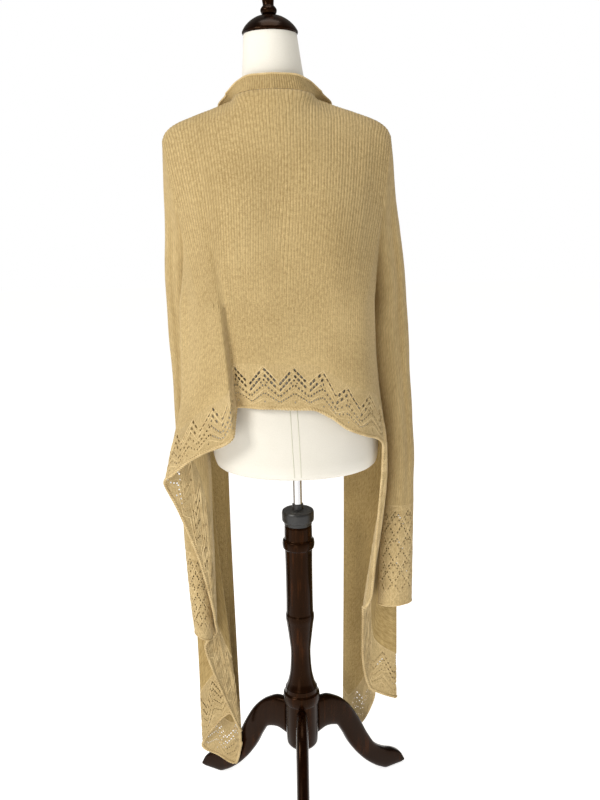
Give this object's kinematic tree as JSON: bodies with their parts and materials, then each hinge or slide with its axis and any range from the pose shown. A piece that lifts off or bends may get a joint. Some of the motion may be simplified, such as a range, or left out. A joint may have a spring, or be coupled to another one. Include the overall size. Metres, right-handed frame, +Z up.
{
  "type": "waterfall cardigan on dress form with stand",
  "caption": "Long open-front knitted cardigan with lace borders at hem, cuffs and fronts, hanging in waterfall folds on a limbless dress form with a turned wooden stand",
  "frame": {"origin": "Centre of the bounding box's base, on the floor under the feet", "axes": "+Z up, -Y the way the garment's front faces, +X the wearer's left"},
  "size_m": [0.5025, 0.419, 1.7037],
  "materials": {
    "camel_knit": "fine jersey knit, matt",
    "camel_lace": "openwork knit, matt",
    "form_cover": "smooth stretched cover, matt",
    "dark_wood": "dark stain, gloss",
    "chrome": "polished",
    "black_collar": "satin"
  },
  "bodies": {
    "root": {"back_panel": "camel_knit", "back_lace": "camel_lace", "front_left": "camel_knit", "front_band_left": "camel_knit", "front_lace_left": "camel_lace", "front_right": "camel_knit", "front_band_right": "camel_knit", "front_lace_right": "camel_lace", "sleeve_left": "camel_knit", "cuff_back_left": "camel_lace", "cuff_front_left": "camel_lace", "sleeve_right": "camel_knit", "cuff_back_right": "camel_lace", "cuff_front_right": "camel_lace", "neck_band": "camel_knit", "dress_form": "form_cover", "neck_cap": "dark_wood", "finial": "dark_wood", "rod": "chrome", "clamp_collar": "black_collar", "post": "dark_wood", "hub": "dark_wood", "leg_rear": "dark_wood", "leg_left": "dark_wood", "leg_right": "dark_wood"}
  },
  "joints": []
}
